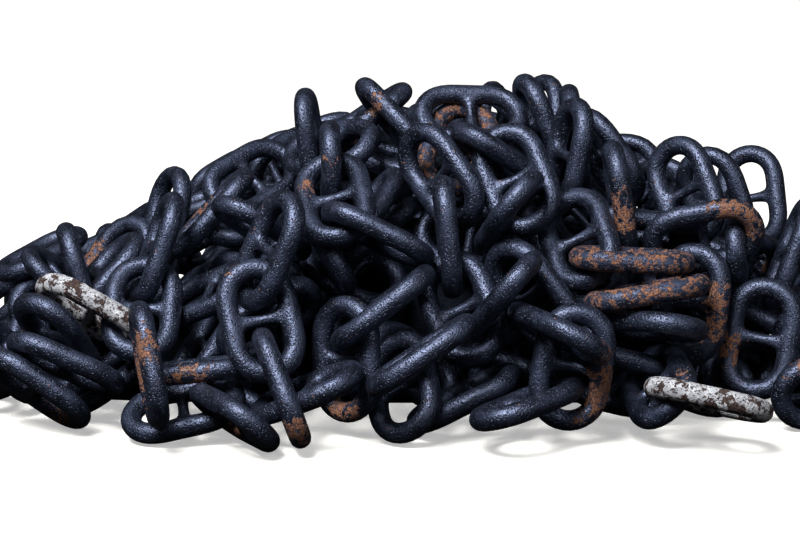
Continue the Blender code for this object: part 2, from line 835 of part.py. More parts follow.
def link_paint(name):
    if name in CHALKY_LINKS:
        return paint(f"{name}_chalky_paint", CHALKY_PAINT, 0.7, 0.0)
    if name in RUSTY_LINKS:
        return paint(f"{name}_rusty_iron", RUSTY_PAINT, 0.75, 0.3)
    return paint(f"{name}_tar_paint", IRON_PAINT, 0.4, 0.5)


# Each piece holds its own material on the object, because the links share a mesh
def add_piece(name, mesh, material, pose, parent):
    item = bpy.data.objects.new(name, mesh)
    if not mesh.materials:
        mesh.materials.append(None)
    item.material_slots[0].link = "OBJECT"
    item.material_slots[0].material = material
    item.matrix_local = pose
    item.parent = parent
    bpy.context.scene.collection.objects.link(item)
    return item


# Links to be joined wait in a hidden collection, which the core takes in
def joined_group(core):
    group = bpy.data.collections.new("joined_links")
    bpy.context.scene.collection.children.link(group)
    join = core.modifiers.new("join_links", "BOOLEAN")
    join.operation = "UNION"
    join.operand_type = "COLLECTION"
    join.collection = group
    join.solver = "EXACT"
    return group


def add_joined_links(group, mesh, poses, parent):
    for pose in poses:
        item = bpy.data.objects.new(f"joined_{len(group.objects) + 1:02d}", mesh)
        item.matrix_local = pose
        item.parent = parent
        item.hide_render = True
        item.display_type = "WIRE"
        group.objects.link(item)


# The core and the links at these poses as one tree of faces
def joined_tree(core, mesh, poses):
    verts = [vert.co.copy() for vert in core.vertices]
    faces = [tuple(face.vertices) for face in core.polygons]
    for pose in poses:
        first = len(verts)
        verts += [pose @ vert.co for vert in mesh.vertices]
        faces += [tuple(first + index for index in face.vertices) for face in mesh.polygons]
    return BVHTree.FromPolygons(verts, faces)


def stand_on_origin(parent, places):
    low = [min(place[axis] for place in places) for axis in (0, 1)]
    high = [max(place[axis] for place in places) for axis in (0, 1)]
    parent.location.x = -(low[0] + high[0]) / 2.0
    parent.location.y = -(low[1] + high[1]) / 2.0
    bpy.context.view_layer.update()


def main():
    clear_scene()
    heap = bpy.data.objects.new("heap", None)
    bpy.context.scene.collection.objects.link(heap)
    mesh = link_mesh("stud_link", BAR_SIDES, END_STEPS)
    core_paint = paint("buried_iron", BURIED_PAINT, 0.8, 0.3)
    core = add_piece("heap_core", core_mesh("heap_core"), core_paint, Matrix.Identity(4), heap)
    core_links = joined_group(core)
    plain = link_mesh("joined_link", JOINED_BAR_SIDES, JOINED_END_STEPS)
    joined = joined_poses(plain)
    add_joined_links(core_links, plain, joined, heap)
    mound_tree = joined_tree(core.data, plain, [])
    core_tree = joined_tree(core.data, plain, joined)
    names = []
    links = []
    for group, rows in LINK_GROUPS:
        for number, row in enumerate(rows, 1):
            names.append(f"{group}_{number:02d}")
            links.append(EasedLink(seen_pose(*row), False))
    links += [EasedLink(pose, True) for pose in joined]
    ease_links(links, mound_tree)
    poses = [link.pose() for link in links if not link.held]
    stout = link_mesh("stout_link", BAR_SIDES, END_STEPS, FIT_GAP / 2.0)
    seat_links(stout, poses, core_tree)
    touching = link_mesh("touching_link", BAR_SIDES, END_STEPS, TOUCH_GAP / 2.0)
    for round_number in range(TOGETHER_ROUNDS):
        apart = links_apart(touching, poses, core_tree)
        if not apart:
            break
        seat_together(stout, poses, apart, core_tree)
    taken = [(pose.translation, link_tree(stout, pose)) for pose in poses]
    in_gaps = gap_poses(plain, taken, joined, mound_tree)
    add_joined_links(core_links, plain, in_gaps, heap)
    places = [vert.co.copy() for vert in core.data.vertices]
    places += [pose @ vert.co for pose in joined + in_gaps for vert in plain.vertices]
    for name, pose in zip(names, poses):
        add_piece(name, mesh, link_paint(name), pose, heap)
        places += [pose @ vert.co for vert in mesh.vertices]
    stand_on_origin(heap, places)


main()
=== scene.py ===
# Heap of stud-link iron chain: forged links in tar paint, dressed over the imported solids.
import math
import random

import bmesh
import bpy
import numpy as np
from mathutils import Matrix, Vector, noise
from mathutils.bvhtree import BVHTree
from mathutils.kdtree import KDTree


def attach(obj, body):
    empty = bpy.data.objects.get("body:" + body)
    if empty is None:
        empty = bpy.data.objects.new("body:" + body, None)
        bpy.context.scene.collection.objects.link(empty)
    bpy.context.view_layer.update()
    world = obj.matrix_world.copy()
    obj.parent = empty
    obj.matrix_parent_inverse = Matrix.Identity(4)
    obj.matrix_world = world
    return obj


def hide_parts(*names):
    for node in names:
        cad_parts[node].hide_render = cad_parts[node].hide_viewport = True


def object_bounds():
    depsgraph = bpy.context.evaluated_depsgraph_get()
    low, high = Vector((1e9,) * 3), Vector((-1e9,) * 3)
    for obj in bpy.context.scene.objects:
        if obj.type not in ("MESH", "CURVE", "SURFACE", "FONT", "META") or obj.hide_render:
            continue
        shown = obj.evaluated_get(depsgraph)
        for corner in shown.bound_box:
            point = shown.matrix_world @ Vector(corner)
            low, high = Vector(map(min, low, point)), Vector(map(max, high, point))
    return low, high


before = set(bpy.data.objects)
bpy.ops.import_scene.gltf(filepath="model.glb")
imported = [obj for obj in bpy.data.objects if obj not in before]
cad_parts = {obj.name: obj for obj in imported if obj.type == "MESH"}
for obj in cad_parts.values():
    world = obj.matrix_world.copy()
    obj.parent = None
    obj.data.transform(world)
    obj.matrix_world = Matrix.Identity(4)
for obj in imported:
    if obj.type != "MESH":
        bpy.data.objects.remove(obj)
cadBox = [list(corner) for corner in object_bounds()]
print("loaded the frame with", len(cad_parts), "solids")

# What one link measures, in metres
link = {
    "barRadius": 0.030,
    "length": 0.360,
    "width": 0.225,
    "studFoot": 0.048,  # where the stud meets the bar
    "studNeck": 0.037,
    "neckAt": 0.041,  # from the middle of the link
    "studWaist": 0.030,
    "waistAt": 0.014,
    "unevenness": 0.0009,  # hammer and die marks left from forging
    "unevenSize": 0.055,
    "unevenShift": 31.0,  # so that no two links are uneven alike
    "weld": 0.00001,
    "seatLevel": 0.001,  # how near the middle the faces lie that the stud leaves from
    "seatFacing": 0.8,
}
link["bendRadius"] = link["width"] / 2 - link["barRadius"]
link["straightHalf"] = link["length"] / 2 - link["width"] / 2

# The rounded surface on which the outer links' centres lie
heap = {
    "height": 0.85,
    "peakX": 0.10,
    "leftEnd": -1.50,
    "rightEnd": 1.62,
    "leftFall": 1.6,
    "rightFall": 2.3,
    "frontReach": 1.02,
    "backReach": 1.00,
    "planRoundness": 4.0,
    "sectionRoundness": 2.3,
    "frontInset": 0.17,  # how far the solid core lies under it at the front
    "backInset": 0.06,
    "insetFrom": 105.0,  # degrees round the section
    "insetTurn": 45.0,
    "mostShare": 0.999,  # of the way to an end, so that the section never closes to nothing
    "leastReach": 0.02,
    "slopeStep": 0.02,  # steps along and round it, over which its slope is taken
    "slopeTurn": 0.03,
    "shift": Vector((-0.04471, 0.11814, 0.0)),  # to the frame's own origin
}

# The eye of the picture, in the heap's first place, before the shift
sight = {
    "eye": Vector((0.0, -6.1, 1.5)),
    "pitch": math.radians(11.2),
    "planeAt": 4.75,  # places are read on a plane this far before the eye
    "lens": 85.5,
    "sensor": 36.0,
    "searchFrom": 4.2,  # metres from the eye at which a sight line starts to look for the heap
    "searchStep": 0.01,
    "searchSteps": 400,
}
cornerWeld = 0.00002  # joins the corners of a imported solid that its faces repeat


def endShare(x):
    end = heap["rightEnd"] if x > heap["peakX"] else heap["leftEnd"]
    return min((x - heap["peakX"]) / (end - heap["peakX"]), heap["mostShare"])


def crestHeight(x):
    fall = heap["rightFall"] if x > heap["peakX"] else heap["leftFall"]
    return heap["height"] * (1.0 - endShare(x) ** fall)


def halfDepth(x, y):
    reach = heap["frontReach"] if y < 0.0 else heap["backReach"]
    roundness = heap["planRoundness"]
    return reach * (1.0 - endShare(x) ** roundness) ** (1.0 / roundness)


def heapLevel(place):  # under 1 inside the surface, over 1 outside it
    depth = abs(place.y) / halfDepth(place.x, place.y)
    height = max(place.z, 0.0) / crestHeight(place.x)
    return depth ** heap["sectionRoundness"] + height ** heap["sectionRoundness"]


# A point on the surface; turn runs from the front floor line over the crest to the back one
def surfacePoint(x, turn, inset):
    side = -1.0 if turn < math.pi / 2 else 1.0
    depth = abs(math.cos(turn)) ** (2.0 / heap["sectionRoundness"])
    height = math.sin(turn) ** (2.0 / heap["sectionRoundness"])
    reach = max(halfDepth(x, side) - inset, heap["leastReach"])
    top = max(crestHeight(x) - inset, heap["leastReach"])
    return Vector((x, side * depth * reach, height * top))


# From the front's inset to the back's, which takes over past the crest
def insetBetween(turn, frontInset, backInset):
    backShare = (turn - math.radians(heap["insetFrom"])) / math.radians(heap["insetTurn"])
    backShare = min(max(backShare, 0.0), 1.0)
    return frontInset + (backInset - frontInset) * backShare


def coreInset(turn):
    return insetBetween(turn, heap["frontInset"], heap["backInset"])


def poseFrom(width, thickness, length, centre):
    pose = Matrix((width, thickness, length)).transposed().to_4x4()
    pose.translation = centre
    return pose


# A link lying on the surface at x and turn, swung by wander and rolled on its long axis
def surfacePose(x, turn, inset, wander, roll):
    centre = surfacePoint(x, turn, inset)
    step, turnStep = heap["slopeStep"], heap["slopeTurn"]
    along = surfacePoint(x + step, turn, inset) - surfacePoint(x - step, turn, inset)
    around = surfacePoint(x, min(turn + turnStep, math.pi), inset)
    around = around - surfacePoint(x, max(turn - turnStep, 0.0), inset)
    outward = around.cross(along).normalized()
    length = Matrix.Rotation(wander, 3, outward) @ along.normalized()
    width = Matrix.Rotation(roll, 3, length) @ outward.cross(length)
    return poseFrom(width, length.cross(width), length, centre), outward


def sightLine(across, above):
    forward = Vector((0.0, math.cos(sight["pitch"]), -math.sin(sight["pitch"])))
    upward = Vector((0.0, math.sin(sight["pitch"]), math.cos(sight["pitch"])))
    line = sight["planeAt"] * forward + above * upward
    line.x += across
    return line.normalized()


def distanceToHeap(line):
    lowest, best = None, 0.0
    for step in range(sight["searchSteps"]):
        distance = sight["searchFrom"] + sight["searchStep"] * step
        level = heapLevel(sight["eye"] + distance * line)
        if level < 1.0:
            return distance
        if lowest is None or level < lowest:
            lowest, best = level, distance
    return best


# A link seen at a place in the picture: lean to the right, tip of its top to the eye,
# roll that brings its right side forward, in degrees, and how far it stands proud
def seenPose(across, above, lean, tip, roll, proud):
    line = sightLine(across, above)
    toward = -line
    right = Vector((0.0, 0.0, 1.0)).cross(toward).normalized()
    upward = toward.cross(right)
    lean, tip, roll = math.radians(lean), math.radians(tip), math.radians(roll)
    length = math.cos(lean) * upward + math.sin(lean) * right
    width = math.cos(lean) * right - math.sin(lean) * upward
    facing = math.cos(tip) * toward - math.sin(tip) * length
    length = math.cos(tip) * length + math.sin(tip) * toward
    width = math.cos(roll) * width + math.sin(roll) * facing
    centre = sight["eye"] + (distanceToHeap(line) - proud) * line
    return poseFrom(width, length.cross(width), length, centre), toward


# Cages of one link: a ring drawn round from a circle, then the stud between its sides

def extrudeRing(bm, ring, rise):
    made = bmesh.ops.extrude_edge_only(bm, edges=ring)["geom"]
    verts = [item for item in made if isinstance(item, bmesh.types.BMVert)]
    bmesh.ops.translate(bm, verts=verts, vec=(0.0, 0.0, rise))
    return [item for item in made if isinstance(item, bmesh.types.BMEdge)
            and all(v in verts for v in item.verts)]


def spinRing(bm, ring, centreZ, steps):
    verts = list(dict.fromkeys(v for edge in ring for v in edge.verts))
    made = bmesh.ops.spin(bm, geom=verts + ring, cent=(0.0, 0.0, centreZ),
                          axis=(0.0, -1.0, 0.0), angle=math.pi, steps=steps)
    return [item for item in made["geom_last"] if isinstance(item, bmesh.types.BMEdge)]


# Opens the bar's inner face and draws its edge in to the stud's waist
def halfStud(bm, side):
    seat = [face for face in bm.faces
            if abs(face.calc_center_median().z) < link["seatLevel"]
            and face.normal.x * side < -link["seatFacing"]
            and face.calc_center_median().x * side > 0.0]
    rim = dict.fromkeys(edge for face in seat for edge in face.edges)
    rim = [edge for edge in rim if sum(face in seat for face in edge.link_faces) == 1]
    bmesh.ops.delete(bm, geom=seat, context="FACES")
    for reach, diameter in ((link["neckAt"], link["studNeck"]), (link["waistAt"], link["studWaist"])):
        made = bmesh.ops.extrude_edge_only(bm, edges=rim)["geom"]
        verts = [item for item in made if isinstance(item, bmesh.types.BMVert)]
        rim = [item for item in made if isinstance(item, bmesh.types.BMEdge)
               and all(v in verts for v in item.verts)]
        verts.sort(key=lambda v: math.atan2(v.co.z, v.co.y))
        radius = diameter / 2 / math.cos(math.pi / len(verts))
        for number, vert in enumerate(verts):
            angle = (number + 0.5) * 2 * math.pi / len(verts) - math.pi
            vert.co = (side * reach, radius * math.cos(angle), radius * math.sin(angle))
    return rim


def linkCage(name, sides, endSteps, sideSteps):
    bm = bmesh.new()
    start = Matrix.Translation((link["bendRadius"], 0.0, -link["straightHalf"]))
    faceInward = Matrix.Rotation(math.pi / 2 + math.pi / sides, 4, "Z")
    radius = link["barRadius"] / math.cos(math.pi / sides)  # smoothing draws the cage in by this
    bmesh.ops.create_circle(bm, segments=sides, radius=radius, matrix=start @ faceInward)
    ring = list(bm.edges)
    shoulder = (link["straightHalf"] - link["studFoot"] / 2) / sideSteps
    rises = [shoulder] * sideSteps + [link["studFoot"]] + [shoulder] * sideSteps
    for rise in rises:
        ring = extrudeRing(bm, ring, rise)
    ring = spinRing(bm, ring, link["straightHalf"], endSteps)
    for rise in rises:
        ring = extrudeRing(bm, ring, -rise)
    spinRing(bm, ring, -link["straightHalf"], endSteps)
    bmesh.ops.remove_doubles(bm, verts=bm.verts, dist=link["weld"])
    bmesh.ops.recalc_face_normals(bm, faces=bm.faces)
    rims = halfStud(bm, 1.0) + halfStud(bm, -1.0)
    bmesh.ops.bridge_loops(bm, edges=rims)
    bmesh.ops.recalc_face_normals(bm, faces=bm.faces)
    mesh = bpy.data.meshes.new(name)
    bm.to_mesh(mesh)
    bm.free()
    mesh.shade_smooth()
    return mesh


# Spheres along a link's bar and stud, by which links are kept apart
spheres = {
    "endSteps": 10,
    "sideSteps": 4,
    "studShares": (-0.6, 0.0, 0.6),  # of the way from the middle to the bar
    "studSize": 0.6,  # radius, as a share of the stud's waist
}


def samplePoints():
    points, radii = [], []
    for step in range(spheres["endSteps"]):
        angle = math.pi * step / spheres["endSteps"]
        x = link["bendRadius"] * math.cos(angle)
        z = link["straightHalf"] + link["bendRadius"] * math.sin(angle)
        points += [(x, 0.0, z), (-x, 0.0, -z)]
    for step in range(spheres["sideSteps"]):
        z = link["straightHalf"] * (1.0 - 2 * step / spheres["sideSteps"])
        points += [(-link["bendRadius"], 0.0, z), (link["bendRadius"], 0.0, -z)]
    radii += [link["barRadius"]] * len(points)
    for share in spheres["studShares"]:
        points.append((share * link["bendRadius"], 0.0, 0.0))
        radii.append(spheres["studSize"] * link["studWaist"])
    return np.array(points, dtype=np.float32), np.array(radii, dtype=np.float32)


# Where the solid links stand, read back from their own corners
def solidPose(node):
    bm = bmesh.new()
    bm.from_mesh(node.data)
    bmesh.ops.remove_doubles(bm, verts=bm.verts, dist=cornerWeld)
    corners = np.array([tuple(v.co) for v in bm.verts])
    bm.free()
    centre = corners.mean(axis=0)
    spread, axes = np.linalg.eigh(np.cov((corners - centre).T))
    length, width = Vector(axes[:, 2].tolist()), Vector(axes[:, 1].tolist())
    return poseFrom(width, length.cross(width), length, Vector(centre.tolist()))


# The links that the core carries at the back and the ends, by the same rule as in the solids
joined = {
    "turns": (14, 38, 64, 90, 117, 137, 158),
    "spacing": 0.40,
    "lift": 0.012,
    "rollLift": 0.03,
    "wander": 40.0,
    "roll": 70.0,
    "rock": 15.0,
    "endRoom": 0.21,
    "seed": 7,
    "openLeft": -1.15,
    "openRight": 1.16,
    "openTurn": 100.0,
    "floorGap": 0.0003,
    "spacingRange": (0.9, 1.1),
}


def joinedPose(x, turn, wander, roll):
    inset = coreInset(turn) - joined["lift"] - joined["rollLift"] * abs(math.sin(roll))
    return surfacePose(x, turn, inset, wander, roll)[0]


def lowestPoint(pose):
    points, radii = samplePoints()
    return min((pose @ Vector(point.tolist())).z - float(radius)
               for point, radius in zip(points, radii))


def joinedPoses():
    chance = random.Random(joined["seed"])
    poses = []
    for row, degrees in enumerate(joined["turns"]):
        turn = math.radians(degrees)
        x = heap["leftEnd"] + joined["endRoom"] + 0.5 * joined["spacing"] * (row % 2)
        number = row
        while x < heap["rightEnd"] - joined["endRoom"]:
            wander = math.radians(chance.uniform(-joined["wander"], joined["wander"]))
            roll = joined["roll"] * (number % 2) + chance.uniform(-joined["rock"], joined["rock"])
            roll = math.radians(roll)
            if degrees > joined["openTurn"] or x < joined["openLeft"] or x > joined["openRight"]:
                pose = joinedPose(x, turn, wander, roll)
                pose.translation.z += max(joined["floorGap"] - lowestPoint(pose), 0.0)
                poses.append(pose)
            x += joined["spacing"] * chance.uniform(*joined["spacingRange"])
            number += 1
    return poses


# Links seen in the gaps: across and above the sight line, then lean, tip, roll and
# proud as seenPose takes them; those for which the solids have room are joined to the core.
# Not all of the joined ones are found again
gapLinks = (
    (-0.79, 0.01, 80, -20, 85, -0.06),
    (-1.05, -0.28, 87, 0, 35, 0.00),
    (-0.06, 0.37, 62, 0, 80, -0.12),
    (-0.605, 0.17, 55, 0, 60, -0.15),
    (-0.7125, 0.0025, 35, 0, 40, -0.15),
    (-0.872, -0.005, 50, -20, 75, -0.10),
    (-0.4875, -0.1975, 35, 0, 70, -0.12),
    (-0.2875, -0.385, 10, 0, 60, -0.06),
    (-0.7875, -0.3475, -80, 0, 70, -0.12),
    (0.08, -0.03, -40, 50, 80, -0.06),
    (0.2575, -0.24, 30, 0, 80, -0.06),
    (0.25, -0.2725, -60, 0, 70, -0.10),
    (0.175, 0.3275, 80, 0, 30, -0.10),
    (0.2625, 0.3775, 88, 0, 80, -0.25),
    (0.35, 0.34, 5, 0, 60, -0.25),
    (0.53, 0.31, -57, 0, 80, -0.20),
    (0.475, 0.2025, 88, 0, 60, -0.10),
    (0.7875, 0.165, -20, 0, 20, -0.10),
    (0.625, 0.1775, 68, 0, 80, -0.10),
    (0.875, 0.035, -38, -50, 85, -0.04),
    (0.9375, 0.1275, -45, 0, 75, -0.08),
    (1.0375, -0.24, 85, 0, 80, 0.00),
    (1.05, -0.34, -80, 0, 60, 0.00),
    (-0.525, -0.0275, 88, 0, 80, -0.10),
    (0.7025, -0.2675, 10, 40, 60, -0.08),
    (-0.55, 0.095, 60, 20, 50, -0.14),
    (-0.51, -0.085, -30, 0, 60, -0.14),
)

gaps = {
    "rowTurns": (104, 127, 148),
    "seed": 100,
    "tries": 60,
    "shift": 0.08,
    "swing": 60.0,
    "depthStep": 0.01,
    "depthSteps": 16,
    "cornerReach": 0.033 * 0.99963,  # of the solids' six-sided bars
    "closeEnough": 0.0004,
    "corners": 5,
    "spineLeft": -0.8,  # the line inside the heap that the links at the back are pushed towards
    "spineRight": 0.9,
    "spineDepth": 0.15,
    "spineHeight": 0.15,
}


def inward(place):
    along = min(max(place.x, gaps["spineLeft"]), gaps["spineRight"])
    spine = Vector((along, gaps["spineDepth"], min(gaps["spineHeight"], place.z)))
    return (spine - place).normalized()


def gapSlots():
    slots = list(gapLinks)
    for row, degrees in enumerate(gaps["rowTurns"]):
        x = heap["leftEnd"] + joined["endRoom"] + 0.5 * joined["spacing"] * ((row + 1) % 2)
        while x < heap["rightEnd"] - joined["endRoom"]:
            slots.append((x, math.radians(degrees)))
            x += joined["spacing"]
    return slots


# The first try at a slot is as read; later ones stray farther from it
def gapTry(slot, number, chance):
    stray = number / gaps["tries"]
    shifts = [gaps["shift"] * stray * chance.uniform(-1.0, 1.0) for _ in range(2)]
    swings = [gaps["swing"] * stray * chance.uniform(-1.0, 1.0) for _ in range(3)]
    if len(slot) == 2:
        wander = math.radians(swings[0] + joined["wander"] * chance.uniform(-1.0, 1.0))
        roll = math.radians(swings[1] + joined["roll"] * chance.uniform(-1.0, 1.0))
        pose = joinedPose(slot[0] + shifts[0], slot[1] + shifts[1], wander, roll)
        return pose, inward(pose.translation)
    across, above, lean, tip, roll, proud = slot
    pose = seenPose(across + shifts[0], above + shifts[1], lean + swings[0],
                    tip + swings[1], roll + swings[2], proud)[0]
    return pose, sightLine(across + shifts[0], above + shifts[1])


def coreCorners(core):
    bm = bmesh.new()
    bm.from_mesh(core.data)
    bmesh.ops.remove_doubles(bm, verts=bm.verts, dist=cornerWeld)
    tree = KDTree(len(bm.verts))
    for index, vert in enumerate(bm.verts):
        tree.insert(vert.co - heap["shift"], index)
    tree.balance()
    bm.free()
    return tree


# Corners of a six-sided link on the straight stretches of its bar
def straightCorners():
    levels = (link["straightHalf"], link["studFoot"] / 2, -link["studFoot"] / 2, -link["straightHalf"])
    corners = []
    for level in levels:
        for turn in range(30, 360, 60):
            across = gaps["cornerReach"] * math.cos(math.radians(turn))
            ahead = gaps["cornerReach"] * math.sin(math.radians(turn))
            corners += [Vector((side * link["bendRadius"] + across, ahead, level)) for side in (-1, 1)]
    return corners


# The first try and depth at which a slot's corners are found among the core's own
def matchedPose(slot, number, tree, corners):
    chance = random.Random(gaps["seed"] + number)
    for attempt in range(gaps["tries"]):
        first, direction = gapTry(slot, attempt, chance)
        for step in range(gaps["depthSteps"]):
            deeper = first.copy()
            deeper.translation = first.translation + gaps["depthStep"] * step * direction
            matched = sum(tree.find(deeper @ corner)[2] < gaps["closeEnough"] for corner in corners)
            if matched >= gaps["corners"]:
                return deeper
    return None


# The gap links that the core is found to hold, and the seen ones it isn't found to hold
def gapPoses(core):
    tree, corners = coreCorners(core), straightCorners()
    found, left = [], []
    for number, slot in enumerate(gapSlots()):
        pose = matchedPose(slot, number, tree, corners)
        if pose is not None:
            found.append(pose)
        elif len(slot) == 6:
            left.append(slot)
    return found, left


# Links under the outer ones, in rows round the section
innerLinks = {
    "frontTurns": (8, 24, 40, 56, 74, 92),
    "frontSpacing": 0.27,
    "frontInset": 0.15,
    "deepInset": 0.27,
    "backTurns": (103, 112, 127, 147, 168),
    "backSpacing": 0.30,
    "backInset": -0.03,  # from the core's own surface
    "underTurns": (106, 122, 142, 162),
    "underInset": 0.09,
    "endRoom": 0.20,
    "wander": 90.0,
    "roll": 80.0,
    "spacingRange": (0.85, 1.15),
    "seed": 23,
}


# Rows of links at random angles, each with the way that leads out of the heap
def scatteredPoses(turns, spacing, insetAt, leftEnd, rightEnd, chance):
    found = []
    for row, degrees in enumerate(turns):
        turn = math.radians(degrees)
        x = leftEnd + 0.5 * spacing * (row % 2)
        while x < rightEnd:
            wander = math.radians(chance.uniform(-innerLinks["wander"], innerLinks["wander"]))
            roll = math.radians(chance.uniform(-innerLinks["roll"], innerLinks["roll"]))
            found.append(surfacePose(x, turn, insetAt(turn), wander, roll))
            x += spacing * chance.uniform(*innerLinks["spacingRange"])
    return found


# Draws the free links away from the set ones, and from each other, until they hardly touch
easing = {
    "rounds": 90,
    "gap": 0.003,
    "share": 0.6,
    "turnEase": 18.0,
    "mostTurn": 0.06,
    "mostMove": 0.012,
    "homing": 0.03,
    "homingShare": 0.6,  # of the rounds, in which links are drawn back to where they were laid
    "pairsEvery": 6,
    "mostOut": 0.008,
    "mostStray": 0.06,  # from where a link was first laid
    "floorGap": 0.002,
    "mostOverlap": 0.012,
    "reach": 0.37,
    "batch": 400,
    "leastPush": 1e-5,
    "leastLength": 1e-6,
    "leastTurn": 1e-5,
}


def nearPairs(centres, fixedCount):
    between = centres[:, None] - centres[None]
    near = (between ** 2).sum(axis=2) < easing["reach"] ** 2
    one, two = np.nonzero(np.triu(near, 1))
    free = two >= fixedCount
    return one[free], two[free]


def worstTouch(world, one, two, reach):
    lack = np.empty(len(one), dtype=np.float32)
    here = np.empty((len(one), 3), dtype=np.float32)
    there = np.empty((len(one), 3), dtype=np.float32)
    for first in range(0, len(one), easing["batch"]):
        part = slice(first, first + easing["batch"])
        a, b = world[one[part]], world[two[part]]
        lengths = np.sqrt(((a[:, :, None] - b[:, None]) ** 2).sum(axis=3))
        lacks = (reach - lengths).reshape(len(a), -1)
        best = lacks.argmax(axis=1)
        rows = np.arange(len(a))
        lack[part] = lacks[rows, best]
        here[part] = a[rows, best // a.shape[1]]
        there[part] = b[rows, best % a.shape[1]]
    return lack, here, there


def easeApart(poses, outward, fixedCount):
    points, radii = samplePoints()
    reach = radii[:, None] + radii[None] + easing["gap"]
    turns = np.array([np.array(pose.to_3x3()) for pose in poses], dtype=np.float32)
    centres = np.array([tuple(pose.translation) for pose in poses], dtype=np.float32)
    outward = np.array([tuple(way) for way in outward], dtype=np.float32)
    homes = centres.copy()
    free = np.zeros(len(poses), dtype=np.float32)
    free[fixedCount:] = 1.0
    low = np.array(cadBox[0], dtype=np.float32) - np.array(heap["shift"], dtype=np.float32)
    high = np.array(cadBox[1], dtype=np.float32) - np.array(heap["shift"], dtype=np.float32)
    low[2] = easing["floorGap"]
    for roundNumber in range(easing["rounds"]):
        world = np.einsum("nij,pj->npi", turns, points) + centres[:, None]
        if roundNumber % easing["pairsEvery"] == 0:
            one, two = nearPairs(centres, fixedCount)
        lack, here, there = worstTouch(world, one, two, reach)
        hit = lack > 0.0
        a, b, lack, here, there = one[hit], two[hit], lack[hit], here[hit], there[hit]
        push = here - there
        push /= np.maximum(np.linalg.norm(push, axis=1, keepdims=True), easing["leastPush"])
        twistA = np.cross(here - centres[a], push)
        twistB = np.cross(there - centres[b], push)
        weight = free[a] * (1.0 + easing["turnEase"] * (twistA ** 2).sum(axis=1))
        weight += free[b] * (1.0 + easing["turnEase"] * (twistB ** 2).sum(axis=1))
        amount = (easing["share"] * lack / np.maximum(weight, easing["leastLength"]))[:, None]
        move = np.zeros_like(centres)
        spin = np.zeros_like(centres)
        np.add.at(move, a, amount * push)
        np.add.at(move, b, -amount * push)
        np.add.at(spin, a, amount * easing["turnEase"] * twistA)
        np.add.at(spin, b, -amount * easing["turnEase"] * twistB)
        length = np.linalg.norm(move, axis=1, keepdims=True)
        move *= np.minimum(1.0, easing["mostMove"] / np.maximum(length, easing["leastLength"]))
        centres += free[:, None] * move
        if roundNumber < easing["rounds"] * easing["homingShare"]:
            centres += free[:, None] * easing["homing"] * (homes - centres)
        strayed = np.linalg.norm(centres - homes, axis=1, keepdims=True)
        strayed = np.maximum(strayed, easing["leastLength"])
        back = np.maximum(1.0 - easing["mostStray"] / strayed, 0.0)
        centres -= free[:, None] * back * (centres - homes)
        out = ((centres - homes) * outward).sum(axis=1)
        centres -= (free * np.maximum(out - easing["mostOut"], 0.0))[:, None] * outward
        angles = np.linalg.norm(spin, axis=1)
        for index in np.nonzero((angles > easing["leastTurn"]) & (free > 0))[0]:
            angle = min(float(angles[index]), easing["mostTurn"])
            axis = Vector((spin[index] / angles[index]).tolist())
            turns[index] = np.array(Matrix.Rotation(angle, 3, axis)) @ turns[index]
        world = np.einsum("nij,pj->npi", turns, points) + centres[:, None]
        under = (low + radii[:, None] - world).max(axis=1)
        over = (world + radii[:, None] - high).max(axis=1)
        centres += free[:, None] * np.maximum(under, 0.0)
        centres -= free[:, None] * np.maximum(over, 0.0)
    world = np.einsum("nij,pj->npi", turns, points) + centres[:, None]
    one, two = nearPairs(centres, fixedCount)
    lack = worstTouch(world, one, two, reach)[0] - easing["gap"]
    return turns, centres, one, two, lack


# Which links run too far into another after easing; the worst goes first
def crowdedLinks(one, two, lack, firstFree, count):
    gone = set()
    overlaps = [(float(overlap), int(a), int(b)) for a, b, overlap in zip(one, two, lack)
                if overlap > easing["mostOverlap"]]
    while True:
        total = [0.0] * count
        for amount, a, b in overlaps:
            if a not in gone and b not in gone:
                total[a] += amount
                total[b] += amount
        loose = [(total[i], i) for i in range(firstFree, count) if i not in gone and total[i] > 0.0]
        if not loose:
            return gone
        gone.add(max(loose)[1])


# Finishes

def hexColour(code):
    levels = [int(code[i:i + 2], 16) / 255 for i in (1, 3, 5)]
    return tuple(v / 12.92 if v < 0.04045 else ((v + 0.055) / 1.055) ** 2.4 for v in levels) + (1.0,)


# Adds a node; its inputs are plain values or the outputs that feed them
def addNode(tree, kind, settings, inputs):
    node = tree.nodes.new(kind)
    for name, value in settings.items():
        setattr(node, name, value)
    for name, value in inputs.items():
        if isinstance(value, bpy.types.NodeSocket):
            tree.links.new(value, node.inputs[name])
        else:
            node.inputs[name].default_value = value
    return node


# Bitumen-based tar paint brushed over forged iron: near black with a blue shine, a dim
# film in broad clouds broken by fine pits, and orange rust where it has worn off
tarPaint = {
    "paint": "#06070a",
    "film": "#1b1f29",
    "pit": "#030304",
    "rustDark": "#24130a",
    "rustLight": "#8c5829",
    "cloudSize": 0.055,  # metres across one cloud of the film
    "pitSize": 0.0085,  # the real pits are 1 to 3 mm, drawn coarser so that they show
    "grainSize": 0.0050,
    "rustSize": 0.020,
    "rustFrom": 0.665,  # a higher figure leaves less rust
    "rustRange": 0.05,
    "filmFrom": 0.73,
    "filmRange": 0.26,
    "filmShare": 0.90,
    "roughness": (0.34, 0.54),
    "specular": 0.90,
    "shine": "#bcc6ec",  # the blue cast of what it reflects
    "coat": 0.22,  # the brushed tar still shines where it is thick
}
# The same iron where the paint has gone from most of the bar
rustyIron = dict(tarPaint, rustFrom=0.49, rustRange=0.08, roughness=(0.45, 0.70), coat=0.1)
